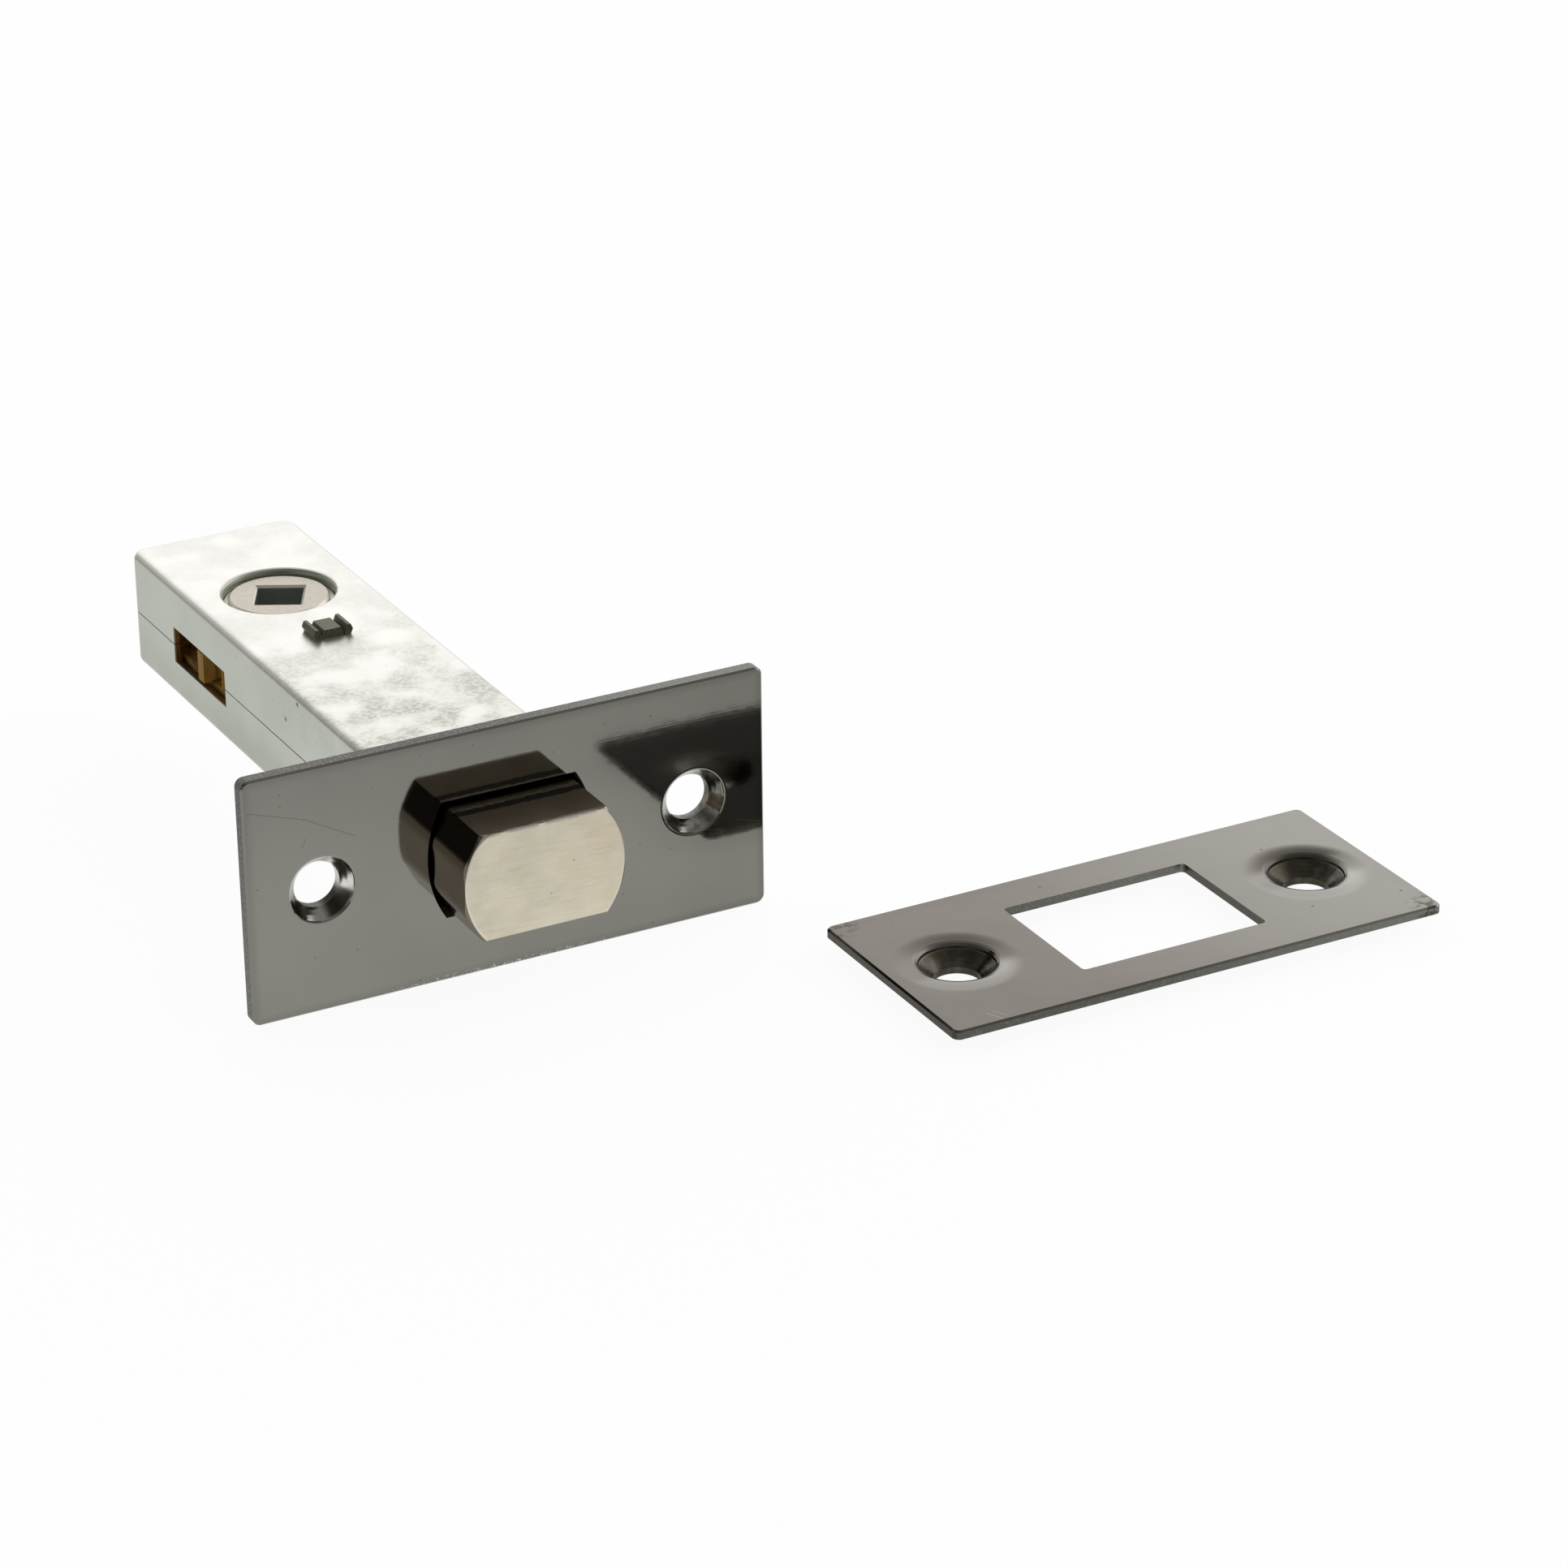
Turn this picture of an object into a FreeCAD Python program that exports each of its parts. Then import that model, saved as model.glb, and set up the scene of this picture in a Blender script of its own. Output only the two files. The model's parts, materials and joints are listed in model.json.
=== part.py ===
import FreeCAD, Part

import os
import re
import Sketcher

# A tubular deadbolt with its strike plate, in millimetres.
# The origin is the centre of the forend's front face, midway between its two screws. +X runs along
# the forend, the bolt leaves towards -Y, the case runs back along +Y, and +Z is up as the lock lies
# on the forend's long edge.

SIZES = {
    # Forend plate
    "forend_length": 57.0,
    "forend_width": 26.4,
    "forend_thickness": 1.5,
    "forend_corner_radius": 0.9,
    "forend_screw_spacing": 41.0,
    "forend_hole_radius": 2.45,
    "forend_countersink_radius": 3.45,
    "forend_countersink_depth": 1.4,
    "forend_lip": 0.35,
    "forend_lip_depth": 0.15,
    "forend_dimple": 0.95,
    # Strike plate, lying flat beside the lock
    "strike_length": 57.0,
    "strike_width": 26.4,
    "strike_thickness": 0.95,
    "strike_corner_radius": 0.8,
    "strike_screw_spacing": 41.4,
    "strike_hole_radius": 2.4,
    "strike_countersink_radius": 3.9,
    "strike_countersink_depth": 1.9,
    "strike_lip": 0.65,
    "strike_lip_depth": 0.55,
    "strike_dimple": 1.65,
    "strike_window_length": 21.6,
    "strike_window_width": 15.7,
    "strike_window_corner": 0.5,
    "strike_right": 57.0,
    "strike_ahead": 25.9,
    # Pressed edges and countersinks of both plates
    "dimple_wall": 0.55,
    "plate_edge_break": 0.2,
    # Bolt, which runs inside the case with its front face at bolt_out from the forend
    "bolt_side_gap": 0.2,
    "bolt_flat_gap": 0.15,
    "bolt_flat_width": 13.8,
    "bolt_side_height": 5.0,
    "bolt_bend_radius": 3.0,
    "bolt_length": 26.0,
    "bolt_face_radius": 8.7,
    "bolt_turned_depth": 0.5,
    "bolt_edge_break": 0.15,
    "bolt_out": 7.83,
    "bolt_throw": 12.0,
    "bolt_step_length": 8.0,
    "opening_side_gap": 0.4,
    "opening_flat_gap": 0.6,
    "opening_side_radius": 12.0,
    # Case of two pressed half shells
    "case_width": 19.2,
    "case_height": 13.1,
    "case_behind_hub": 19.0,
    "sheet_thickness": 0.65,
    "bend_radius": 0.9,
    "rear_corner_radius": 1.8,
    "seam_height": -0.3,
    "seam_gap": 0.12,
    "window_length": 14.05,
    "window_height": 4.1,
    "collar_radius": 6.05,
    "collar_wall": 0.55,
    "collar_depth": 1.6,
    "collar_mouth": 0.5,
    # Tie staked through both shells ahead of the hub
    "tie_before_hub": 12.9,
    "tie_width": 4.0,
    "tie_depth": 3.0,
    "tie_gap": 0.65,
    "tie_neck_width": 3.4,
    "tie_neck_depth": 2.4,
    "tie_neck_gap": 0.05,
    "tie_head_width": 4.5,
    "tie_head_depth": 3.2,
    "tie_head_height": 1.1,
    "tie_bar_depth": 2.9,
    "tie_cut_spacing": 2.6,
    "tie_cut_width": 0.7,
    "tie_cut_depth": 0.8,
    # Follower, the hub that the spindle turns
    "hub_distance": 57.0,
    "spindle_size": 5.0,
    "hub_rim": 0.55,
    "hub_face_depth": 0.5,
    "hub_edge_break": 0.25,
    "journal_depth": 1.1,
    "journal_gap": 0.08,
    "flange_overlap": 1.15,
    "flange_gap": 0.2,
    "barrel_radius": 4.2,
    "barrel_gap": 0.5,
    "arm_radius": 9.5,
    "arm_prong": 1.5,
    "fork_lead": 2.56,
    "window_gap": 0.35,
    # Tail, the forked strip that draws the bolt
    "tail_gap": 0.3,
    "tail_left_gap": 0.75,
    "tail_right_gap": 1.75,
    "tail_end_gap": 1.95,
    "rivet_spacing": 9.0,
    "rivet_radius": 1.2,
    "rivet_gap": 0.05,
    "rivet_head_radius": 2.0,
    "rivet_head_height": 0.6,
    "rivet_recess": 0.3,
    # Drive pin, which the follower's fork pushes
    "pin_radius": 1.1,
    "pin_offset": 6.0,
    "pin_play": 0.45,
    "pin_end_gap": 0.35,
    "pin_top_gap": 0.3,
    "pin_head_radius": 1.6,
    "pin_head_height": 0.3,
    "pin_head_gap": 0.35,
    # Detent spring against the case's right wall
    "spring_thickness": 0.3,
    "spring_height": 2.4,
    "spring_half_length": 13.0,
    "spring_foot_length": 3.0,
    "detent_distance": 33.0,
    "detent_gap": 0.1,
    "notch_depth": 0.9,
    "nib_half_length": 1.5,
}

# The numbers by which a sketch knows the two ends of a line or arc, and its centre.
FIRST_END, SECOND_END, CENTRE = range(1, 4)

# The turns, in degrees, at which a rolled edge is cut into flat bands.
ROLL_TURNS = (0, 30, 60, 90)

# Heights and places that several pieces share, worked out from the sizes.
CASE_TOP = "case_height / 2"
CASE_INNER_TOP = "(case_height / 2 - sheet_thickness)"
CASE_INNER_SIDE = "(case_width / 2 - sheet_thickness)"
CASE_END = "(hub_distance + case_behind_hub)"
COLLAR_END = "(case_height / 2 - collar_depth)"
TIE_DISTANCE = "(hub_distance - tie_before_hub)"
BOLT_HALF_WIDTH = f"({CASE_INNER_SIDE} - bolt_side_gap)"
BOLT_HALF_HEIGHT = f"({CASE_INNER_TOP} - bolt_flat_gap)"
TAIL_LEFT = f"({CASE_INNER_SIDE} - tail_left_gap)"
TAIL_RIGHT = f"({CASE_INNER_SIDE} - tail_right_gap)"
HUB_FACE_RADIUS = "(collar_radius - hub_rim)"
ARM_HALF_HEIGHT = "(window_height / 2 - window_gap)"
ARM_TOP = f"(seam_height + {ARM_HALF_HEIGHT})"
ARM_BOTTOM = f"(seam_height - {ARM_HALF_HEIGHT})"
ARM_HALF_WIDTH = "(pin_radius + pin_play + arm_prong)"
TAIL_TOP = f"({ARM_BOTTOM} - tail_gap)"
TAIL_BOTTOM = f"(pin_head_gap + pin_head_height - {COLLAR_END})"
STEP_START = "(bolt_length - bolt_step_length)"
RIVET_DISTANCE = "(bolt_length - bolt_step_length / 2)"
PIN_DISTANCE = "(hub_distance + pin_offset)"

doc = FreeCAD.newDocument("tubular_deadbolt")
sheet = doc.addObject("Spreadsheet::Sheet", "sizes")
for row, (name, number) in enumerate(SIZES.items(), start=1):
    sheet.set(f"A{row}", name)
    sheet.set(f"B{row}", str(number))
    sheet.setAlias(f"B{row}", name)
doc.recompute()


def formula(text):
    """Return the text as an expression, with each size's name pointed at the sheet."""
    return re.sub(r"[a-z]\w*", lambda word: f"sizes.{word[0]}" if word[0] in SIZES else word[0], text)


def value(text):
    """Work the text out from the sheet's present values."""
    result = sheet.evalExpression(formula(text))
    return float(getattr(result, "Value", result))


def new_body(label):
    body = doc.addObject("PartDesign::Body", label)
    body.Label = label
    return body


def new_sketch(body, name, plane, offset=("0", "0", "0")):
    """Attach a sketch to one of the body's origin planes, moved by offset in the plane's own axes."""
    planes = {feature.Role: feature for feature in body.Origin.OriginFeatures}
    sketch = body.newObject("Sketcher::SketchObject", name)
    sketch.AttachmentSupport = [(planes[plane], "")]
    sketch.MapMode = "FlatFace"
    for axis, text in zip("xyz", offset):
        if text != "0":
            sketch.setExpression(f"AttachmentOffset.Base.{axis}", formula(text))
    return sketch


def fix_point(sketch, geometry, end, x, y):
    """Hold a point of the sketch at x, y, which are texts of sizes."""
    for kind, axis, text in (("DistanceX", -2, x), ("DistanceY", -1, y)):
        if text == "0":
            sketch.addConstraint(Sketcher.Constraint("PointOnObject", geometry, end, axis))
        else:
            held = Sketcher.Constraint(kind, -1, 1, geometry, end, value(text))
            index = sketch.addConstraint(held)
            sketch.setExpression(f"Constraints[{index}]", formula(text))


def fix_radius(sketch, geometry, radius):
    index = sketch.addConstraint(Sketcher.Constraint("Radius", geometry, value(radius)))
    sketch.setExpression(f"Constraints[{index}]", formula(radius))


def arc_between(start, end, radius):
    """Make the short arc from start to end that bulges to the right of the way."""
    way = end - start
    beside = FreeCAD.Vector(way.y, -way.x, 0).normalize()
    middle = (start + end) / 2
    rise = radius - (radius ** 2 - way.Length ** 2 / 4) ** 0.5
    return Part.ArcOfCircle(start, middle + beside * rise, end)


def draw_outline(sketch, outline):
    """Draw a closed outline of corners (x, y). A corner that also has a radius leaves by an arc,
    bulging to the right of the way, instead of a straight side."""
    corners = [FreeCAD.Vector(value(side[0]), value(side[1]), 0) for side in outline]
    first = sketch.GeometryCount
    starts = []
    for number, side in enumerate(outline):
        start = corners[number]
        end = corners[(number + 1) % len(corners)]
        if len(side) == 2:
            geometry = sketch.addGeometry(Part.LineSegment(start, end), False)
        else:
            geometry = sketch.addGeometry(arc_between(start, end, value(side[2])), False)
        to_first = (sketch.getPoint(geometry, FIRST_END) - start).Length
        to_second = (sketch.getPoint(geometry, SECOND_END) - start).Length
        starts.append(FIRST_END if to_first < to_second else SECOND_END)
    for number, side in enumerate(outline):
        after = (number + 1) % len(outline)
        leaves = SECOND_END if starts[number] == FIRST_END else FIRST_END
        joined = Sketcher.Constraint("Coincident", first + number, leaves, first + after, starts[after])
        sketch.addConstraint(joined)
        fix_point(sketch, first + number, starts[number], side[0], side[1])
        if len(side) > 2:
            fix_radius(sketch, first + number, side[2])


def draw_circle(sketch, x, y, radius):
    circle = Part.Circle(FreeCAD.Vector(value(x), value(y), 0), FreeCAD.Vector(0, 0, 1), value(radius))
    geometry = sketch.addGeometry(circle, False)
    fix_point(sketch, geometry, CENTRE, x, y)
    fix_radius(sketch, geometry, radius)


def rectangle(x_low, x_high, y_low, y_high):
    return [(x_low, y_low), (x_high, y_low), (x_high, y_high), (x_low, y_high)]


def rounded_rectangle(half_x, half_y, radius):
    """Outline of a rectangle about the origin with arcs at its corners."""
    inner_x = f"({half_x} - {radius})"
    inner_y = f"({half_y} - {radius})"
    return [
        (f"-{inner_x}", f"-{half_y}"),
        (inner_x, f"-{half_y}", radius),
        (half_x, f"-{inner_y}"),
        (half_x, inner_y, radius),
        (inner_x, half_y),
        (f"-{inner_x}", half_y, radius),
        (f"-{half_x}", inner_y),
        (f"-{half_x}", f"-{inner_y}", radius),
    ]


def double_d(half_width, half_height, radius):
    """Outline with two flats, above and below, and two round sides."""
    corner = f"({half_width} - {radius} + sqrt(({radius}) ^ 2 - ({half_height}) ^ 2))"
    return [
        (f"-{corner}", f"-{half_height}"),
        (corner, f"-{half_height}", radius),
        (corner, half_height),
        (f"-{corner}", half_height, radius),
    ]


def bevelled_bar(half_width, half_height, half_flat, half_side):
    """Outline of a flat bar whose four corners are bevelled, down to the flats and the sides given."""
    return [
        (f"-{half_flat}", f"-{half_height}"), (half_flat, f"-{half_height}"),
        (half_width, f"-{half_side}"), (half_width, half_side),
        (half_flat, half_height), (f"-{half_flat}", half_height),
        (f"-{half_width}", half_side), (f"-{half_width}", f"-{half_side}"),
    ]


def rolled_edge(inner, width, surface, depth):
    """Points down a rolled edge: from the surface, width outside the inner radius, to depth below it
    at the inner radius. depth has its sign."""
    return [
        (f"{inner} + {width} * (1 - sin({turn}))", f"{surface} {depth} * (1 - cos({turn}))")
        for turn in ROLL_TURNS
    ]


def settle(body, feature, volume_before, grows):
    """Make the feature the body's tip and stop if it added or removed nothing."""
    body.Tip = feature
    doc.recompute()
    if "Invalid" in feature.State or "Error" in feature.State:
        raise ValueError(f"{body.Label}: {feature.Name} failed")
    change = feature.Shape.Volume - volume_before
    if (change if grows else -change) < 1e-6:
        raise ValueError(f"{body.Label}: {feature.Name} changed nothing")
    return feature


def volume_of(body):
    return 0.0 if body.Shape.isNull() else body.Shape.Volume


def extrude(body, kind, sketch, length=None, reverse=False, both=False):
    """Pad or pocket a sketch: both extrudes half of the length each way, and no length goes through."""
    before = volume_of(body)
    feature = body.newObject(f"PartDesign::{kind}", f"{sketch.Name}_{kind.lower()}")
    feature.Profile = sketch
    if length is None:
        feature.Type = "ThroughAll"
    else:
        feature.setExpression("Length", formula(length))
    feature.Reversed = reverse
    feature.SideType = "Symmetric" if both else "One side"
    return settle(body, feature, before, kind == "Pad")


def revolve(body, kind, sketch):
    """Turn a sketch about its own vertical axis, adding a Revolution or cutting a Groove."""
    before = volume_of(body)
    feature = body.newObject(f"PartDesign::{kind}", f"{sketch.Name}_{kind.lower()}")
    feature.Profile = sketch
    feature.ReferenceAxis = (sketch, ["V_Axis"])
    feature.Angle = 360
    return settle(body, feature, before, kind == "Revolution")


def mirror(body, name, plane, originals, grows):
    before = volume_of(body)
    planes = {feature.Role: feature for feature in body.Origin.OriginFeatures}
    feature = body.newObject("PartDesign::Mirrored", name)
    feature.Originals = originals
    feature.MirrorPlane = (planes[plane], [""])
    return settle(body, feature, before, grows)


def dress(body, kind, name, size_property, size, chosen):
    """Fillet or chamfer the tip's edges that the test picks."""
    before = volume_of(body)
    base = body.Tip
    picked = [f"Edge{number}" for number, edge in enumerate(base.Shape.Edges, start=1) if chosen(edge)]
    feature = body.newObject(f"PartDesign::{kind}", name)
    feature.Base = (base, picked)
    feature.setExpression(size_property, formula(size))
    return settle(body, feature, before, False)


def lies_at(axis, place):
    """Return a test for edges and faces that lie in the plane where the axis reads place."""
    def test(shape):
        box = shape.BoundBox
        low = getattr(box, f"{axis}Min")
        high = getattr(box, f"{axis}Max")
        return abs(low - place) < 1e-4 and abs(high - place) < 1e-4
    return test


def lies_at_either(axis, distance):
    """Return a test for edges and faces that lie in either of two planes, distance each way from zero."""
    planes = (lies_at(axis, -distance), lies_at(axis, distance))
    return lambda shape: any(plane(shape) for plane in planes)


def dimpled_holes(body, plane, plate, into):
    """Sink a screw hole on each side of a plate whose front face is at zero. The pressed cone has a
    rolled lip in front and stands out of the back as a low ring. into is + or - along the plane's
    vertical axis."""
    thickness = f"{plate}_thickness"
    back = f"({thickness} + {plate}_dimple)"
    hole = f"{plate}_hole_radius"
    mouth = f"{plate}_countersink_radius"
    offset = (f"{plate}_screw_spacing / 2", "0", "0")

    ring = new_sketch(body, f"{plate}_dimple_ring", plane, offset)
    draw_outline(ring, [
        (hole, f"{into}{thickness}"),
        (mouth, f"{into}{thickness}"),
        (f"{hole} + dimple_wall", f"{into}{back}"),
        (hole, f"{into}{back}"),
    ])
    ring_feature = revolve(body, "Revolution", ring)

    cone = new_sketch(body, f"{plate}_countersink_cone", plane, offset)
    draw_outline(cone, [
        ("0", "0"),
        *rolled_edge(mouth, f"{plate}_lip", "0", f"{into} {plate}_lip_depth"),
        (hole, f"{into}{plate}_countersink_depth"),
        (hole, f"{into}{back}"),
        ("0", f"{into}{back}"),
    ])
    cone_feature = revolve(body, "Groove", cone)
    mirror(body, f"{plate}_far_hole", "YZ_Plane", [ring_feature, cone_feature], False)


def make_forend_plate():
    body = new_body("forend_plate")
    outline = new_sketch(body, "forend_outline", "XZ_Plane")
    draw_outline(outline, rounded_rectangle("forend_length / 2", "forend_width / 2", "forend_corner_radius"))
    extrude(body, "Pad", outline, "forend_thickness", reverse=True)
    dress(body, "Chamfer", "forend_front_edge", "Size", "plate_edge_break", lies_at("Y", 0))
    opening = new_sketch(body, "bolt_opening", "XZ_Plane")
    draw_outline(opening, double_d(
        f"({BOLT_HALF_WIDTH} + opening_side_gap)",
        f"({BOLT_HALF_HEIGHT} + opening_flat_gap)",
        "opening_side_radius"))
    extrude(body, "Pocket", opening, both=True)
    dimpled_holes(body, "XY_Plane", "forend", "+")
    return body


def make_strike_plate():
    body = new_body("strike_plate")
    outline = new_sketch(body, "strike_outline", "XY_Plane")
    draw_outline(outline, rounded_rectangle("strike_length / 2", "strike_width / 2", "strike_corner_radius"))
    extrude(body, "Pad", outline, "strike_thickness", reverse=True)
    dress(body, "Chamfer", "strike_front_edge", "Size", "plate_edge_break", lies_at("Z", 0))
    window = new_sketch(body, "strike_window", "XY_Plane")
    draw_outline(window, rounded_rectangle(
        "strike_window_length / 2", "strike_window_width / 2", "strike_window_corner"))
    extrude(body, "Pocket", window, both=True)
    dimpled_holes(body, "XZ_Plane", "strike", "-")
    body.setExpression("Placement.Base.x", formula("strike_right"))
    body.setExpression("Placement.Base.y", formula("-strike_ahead"))
    body.setExpression("Placement.Base.z", formula("strike_thickness + strike_dimple - forend_width / 2"))
    return body


def make_bolt_head():
    """The bolt's own frame has its front face at zero, and so have the pieces that move with it."""
    body = new_body("bolt_head")
    profile = new_sketch(body, "bolt_profile", "XZ_Plane")
    draw_outline(profile, bevelled_bar(
        BOLT_HALF_WIDTH, BOLT_HALF_HEIGHT, "bolt_flat_width / 2", "bolt_side_height / 2"))
    extrude(body, "Pad", profile, "bolt_length", reverse=True)
    long_sides = lies_at_either("X", value(BOLT_HALF_WIDTH))
    dress(body, "Fillet", "bolt_side_bends", "Radius", "bolt_bend_radius",
          lambda edge: long_sides(edge) and edge.BoundBox.YLength > value("bolt_length") / 2)

    turned = new_sketch(body, "bolt_turned_edge", "XY_Plane")
    draw_outline(turned, [
        ("bolt_face_radius - bolt_edge_break", "0"),
        ("bolt_face_radius + bolt_turned_depth", "0"),
        ("bolt_face_radius + bolt_turned_depth", "bolt_turned_depth"),
        ("bolt_face_radius", "bolt_edge_break / 3"),
    ])
    revolve(body, "Groove", turned)
    front = lies_at("Y", 0)
    flats = lies_at_either("Z", value(BOLT_HALF_HEIGHT))
    dress(body, "Chamfer", "bolt_face_edges", "Size", "bolt_edge_break",
          lambda edge: front(edge) and flats(edge))

    step = new_sketch(body, "bolt_step", "YZ_Plane")
    draw_outline(step, rectangle(STEP_START, "bolt_length + 1", f"-2 * {BOLT_HALF_HEIGHT}", TAIL_TOP))
    extrude(body, "Pocket", step, both=True)
    holes = new_sketch(body, "bolt_rivet_holes", "XY_Plane")
    for side in ("-", "+"):
        draw_circle(holes, f"{side}rivet_spacing / 2", RIVET_DISTANCE, "rivet_radius + rivet_gap")
    extrude(body, "Pocket", holes, both=True)
    body.setExpression("Placement.Base.y", formula("-bolt_out"))
    return body


def make_bolt_tail():
    body = new_body("bolt_tail")
    tie_side = "(tie_width / 2 + tie_gap)"
    hub_side = "(barrel_radius + barrel_gap)"
    tie_end = f"({TIE_DISTANCE} - tie_depth / 2 - tie_gap)"
    hub_end = "(hub_distance - barrel_radius - barrel_gap)"
    tail_end = f"({CASE_END} - sheet_thickness - tail_end_gap)"
    notches = []
    for place in ("detent_distance", "(detent_distance + bolt_throw)"):
        notches.append((TAIL_RIGHT, f"{place} - notch_depth"))
        notches.append((f"{TAIL_RIGHT} - notch_depth", place))
        notches.append((TAIL_RIGHT, f"{place} + notch_depth"))
    plan = new_sketch(body, "tail_plan", "XY_Plane", ("0", "0", TAIL_BOTTOM))
    draw_outline(plan, [
        (f"-{TAIL_LEFT}", STEP_START),
        (TAIL_RIGHT, STEP_START),
        *notches,
        (TAIL_RIGHT, tail_end),
        (hub_side, tail_end),
        (hub_side, hub_end),
        (tie_side, hub_end),
        (tie_side, tie_end),
        (f"-{tie_side}", tie_end),
        (f"-{tie_side}", hub_end),
        (f"-{hub_side}", hub_end),
        (f"-{hub_side}", tail_end),
        (f"-{TAIL_LEFT}", tail_end),
    ])
    extrude(body, "Pad", plan, f"{TAIL_TOP} - {TAIL_BOTTOM}")
    holes = new_sketch(body, "tail_holes", "XY_Plane")
    for side in ("-", "+"):
        draw_circle(holes, f"{side}rivet_spacing / 2", RIVET_DISTANCE, "rivet_radius + rivet_gap")
    draw_circle(holes, "-pin_offset", PIN_DISTANCE, "pin_radius + rivet_gap")
    extrude(body, "Pocket", holes, both=True)
    body.setExpression("Placement.Base.y", formula("-bolt_out"))
    return body


def make_headed_pin(label, x, y, radius, top, head_radius, head_height):
    """A pin that stands through the tail with its low head below it."""
    body = new_body(label)
    profile = new_sketch(body, f"{label}_profile", "XZ_Plane", (x, "0", f"-{y}"))
    draw_outline(profile, [
        ("0", f"{TAIL_BOTTOM} - {head_height}"),
        (head_radius, f"{TAIL_BOTTOM} - {head_height}"),
        (head_radius, TAIL_BOTTOM),
        (radius, TAIL_BOTTOM),
        (radius, top),
        ("0", top),
    ])
    revolve(body, "Revolution", profile)
    body.setExpression("Placement.Base.y", formula("-bolt_out"))
    return body


def make_case_shell(label, side):
    """One pressed half of the case. side is 1 for the upper half and -1 for the lower."""
    body = new_body(label)
    top = f"({side} * {CASE_TOP})"
    seam = f"(seam_height + {side} * seam_gap / 2)"
    collar_end = f"({side} * {COLLAR_END})"
    half = "case_width / 2"
    straight_end = f"({CASE_END} - rear_corner_radius)"

    plan = new_sketch(body, f"{label}_plan", "XY_Plane", ("0", "0", seam))
    draw_outline(plan, [
        (f"-{half}", "forend_thickness"),
        (half, "forend_thickness"),
        (half, straight_end, "rear_corner_radius"),
        (f"({half} - rear_corner_radius)", CASE_END),
        (f"-({half} - rear_corner_radius)", CASE_END, "rear_corner_radius"),
        (f"-{half}", straight_end),
    ])
    extrude(body, "Pad", plan, f"{CASE_TOP} - {side} * seam_height - seam_gap / 2", reverse=side < 0)

    at_top = lies_at("Z", value(top))
    at_front = lies_at("Y", value("forend_thickness"))
    dress(body, "Fillet", f"{label}_bends", "Radius", "bend_radius",
          lambda edge: at_top(edge) and not at_front(edge))

    before = volume_of(body)
    at_seam = lies_at("Z", value(seam))
    base = body.Tip
    open_faces = [f"Face{number}" for number, face in enumerate(base.Shape.Faces, start=1)
                  if at_seam(face) or at_front(face)]
    hollow = body.newObject("PartDesign::Thickness", f"{label}_sheet")
    hollow.Base = (base, open_faces)
    hollow.setExpression("Value", formula("sheet_thickness"))
    hollow.Reversed = True
    settle(body, hollow, before, False)

    collar = new_sketch(body, f"{label}_collar", "XZ_Plane", ("0", "0", "-hub_distance"))
    draw_outline(collar, [
        ("collar_radius", collar_end),
        ("collar_radius + collar_wall", collar_end),
        ("collar_radius + collar_wall", top),
        ("collar_radius", top),
    ])
    revolve(body, "Revolution", collar)
    hub_hole = new_sketch(body, f"{label}_hub_hole", "XY_Plane")
    draw_circle(hub_hole, "0", "hub_distance", "collar_radius")
    extrude(body, "Pocket", hub_hole, both=True)
    mouth = new_sketch(body, f"{label}_collar_mouth", "XZ_Plane", ("0", "0", "-hub_distance"))
    draw_outline(mouth, [
        ("0", top),
        *rolled_edge("collar_radius", "collar_mouth", top, f"- {side} * collar_mouth"),
        ("0", f"{top} - {side} * collar_mouth"),
    ])
    revolve(body, "Groove", mouth)

    tie_slot = new_sketch(body, f"{label}_tie_slot", "XY_Plane")
    slot_x = "(tie_neck_width / 2 + tie_neck_gap)"
    slot_y = "(tie_neck_depth / 2 + tie_neck_gap)"
    draw_outline(tie_slot, rectangle(
        f"-{slot_x}", slot_x, f"{TIE_DISTANCE} - {slot_y}", f"{TIE_DISTANCE} + {slot_y}"))
    extrude(body, "Pocket", tie_slot, both=True)

    window = new_sketch(body, f"{label}_window", "YZ_Plane")
    draw_outline(window, rectangle(
        "hub_distance - window_length / 2", "hub_distance + window_length / 2",
        "seam_height - window_height / 2", "seam_height + window_height / 2"))
    extrude(body, "Pocket", window, both=True)
    return body


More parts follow.
